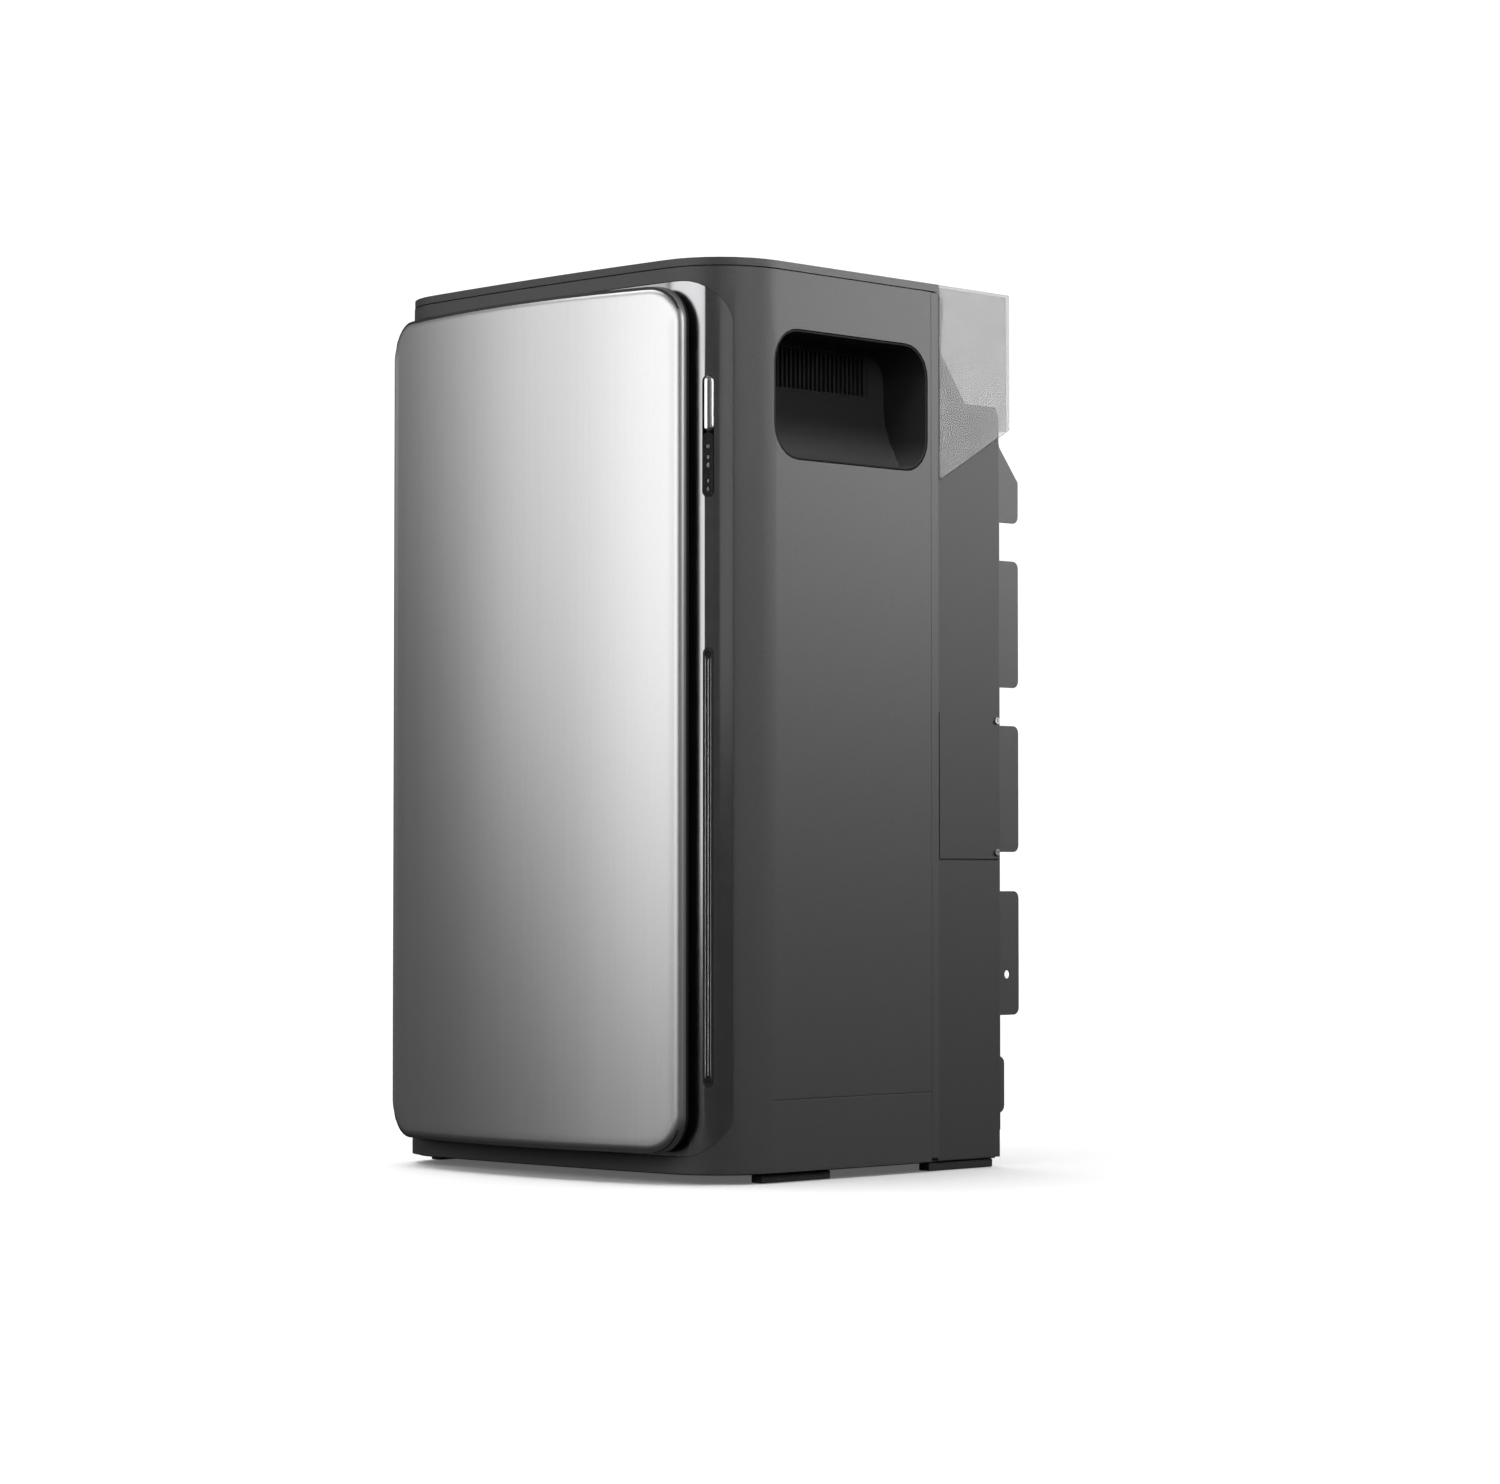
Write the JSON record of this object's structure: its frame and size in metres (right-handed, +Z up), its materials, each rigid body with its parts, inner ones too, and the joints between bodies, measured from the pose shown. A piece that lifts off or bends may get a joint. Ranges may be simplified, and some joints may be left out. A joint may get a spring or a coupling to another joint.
{
  "type": "home energy storage unit",
  "caption": "Floor-standing home battery and inverter cabinet with a bowed brushed steel front, glossy black surround, side vent scoops and a smoked rear cable cover.",
  "frame": {"origin": "on the floor under the middle of the whole box, front panel and wall tabs included", "axes": "+Z up, the steel front panel faces -Y, the wall tabs point to +Y, the power button is at +X"},
  "size_m": [0.5481, 0.531, 0.9802],
  "materials": {
    "powder_coat": "fine-textured dark grey powder coat",
    "brushed_steel": "stainless steel brushed up and down",
    "gloss_black": "high gloss black",
    "black_plastic": "matte black",
    "smoked_polycarbonate": "smoky translucent, faintly frosted",
    "lens": "opal",
    "polished_metal": "polished",
    "aluminium": "extruded",
    "copper": "bright copper",
    "circuit_board": "green solder mask",
    "rubber": "matte",
    "zinc_plate": "bright zinc plate",
    "module_case": "moulded grey"
  },
  "bodies": {
    "cabinet": {"front_casing": "powder_coat", "top_lid": "powder_coat", "rear_chassis": "powder_coat", "side_access_cover": "powder_coat", "wall_bracket_right": "powder_coat", "wall_bracket_left": "powder_coat", "seam_frame": "powder_coat", "front_fascia": "gloss_black", "indicator_lens": "gloss_black", "base_tray": "black_plastic", "panel_peg_right_lower": "black_plastic", "panel_peg_right_upper": "black_plastic", "panel_peg_left_lower": "black_plastic", "panel_peg_left_upper": "black_plastic", "vent_scoop_right": "black_plastic", "vent_scoop_left": "black_plastic", "vent_grille_right": "black_plastic", "vent_grille_left": "black_plastic", "fan_frame_front": "black_plastic", "fan_frame_rear": "black_plastic", "control_housing": "black_plastic", "capacitor_bank": "black_plastic", "cable_gland_a": "black_plastic", "cable_gland_b": "black_plastic", "light_bar_lens": "lens", "light_bar_bezel": "polished_metal", "inverter_heat_sink": "aluminium", "busbar_positive": "copper", "busbar_negative": "copper", "inductor_a": "copper", "inductor_b": "copper", "control_board": "circuit_board", "battery_management_board": "circuit_board", "inverter_board": "circuit_board", "foot_front_right": "rubber", "foot_front_left": "rubber", "foot_rear_right": "rubber", "foot_rear_left": "rubber", "access_cover_screw_lower": "zinc_plate", "access_cover_screw_upper": "zinc_plate", "bracket_bolt_right_lower": "zinc_plate", "bracket_bolt_right_upper": "zinc_plate", "bracket_bolt_left_lower": "zinc_plate", "bracket_bolt_left_upper": "zinc_plate", "button_switch": "zinc_plate", "inverter_tray": "zinc_plate", "battery_module_1": "module_case", "battery_module_2": "module_case", "battery_module_3": "module_case", "battery_module_4": "module_case", "terminal_block": "module_case", "breaker_body": "module_case"},
    "front_panel": {"front_panel_skin": "brushed_steel", "front_panel_frame": "black_plastic"},
    "cable_cover": {"cable_cover": "smoked_polycarbonate"},
    "button": {"power_button": "polished_metal"},
    "rotor_front": {"fan_rotor_front": "black_plastic"},
    "rotor_rear": {"fan_rotor_rear": "black_plastic"},
    "lever": {"breaker_lever": "black_plastic"}
  },
  "joints": [
    {"name": "front_panel_pull", "type": "slide", "parent": "cabinet", "child": "front_panel", "axis": [0, -1, 0], "range_m": [0, 0.08]},
    {"name": "cable_cover_lift", "type": "slide", "parent": "cabinet", "child": "cable_cover", "axis": [0, 0, 1], "range_m": [0, 0.24]},
    {"name": "power_button_press", "type": "slide", "parent": "cabinet", "child": "button", "axis": [-0.592, 0.8059, 0], "range_m": [0, 0.0015], "stiffness_N_per_m": 800},
    {"name": "fan_spin_front", "type": "hinge", "parent": "cabinet", "child": "rotor_front", "pos_m": [0.1915, -0.0515, 0.8787], "axis": [1, 0, 0], "continuous": true},
    {"name": "fan_spin_rear", "type": "hinge", "parent": "cabinet", "child": "rotor_rear", "pos_m": [0.1915, 0.0285, 0.8787], "axis": [1, 0, 0], "continuous": true},
    {"name": "breaker_toggle", "type": "hinge", "parent": "cabinet", "child": "lever", "pos_m": [0.13, 0.1985, 0.8927], "axis": [1, 0, 0], "range_deg": [0, 80]}
  ]
}
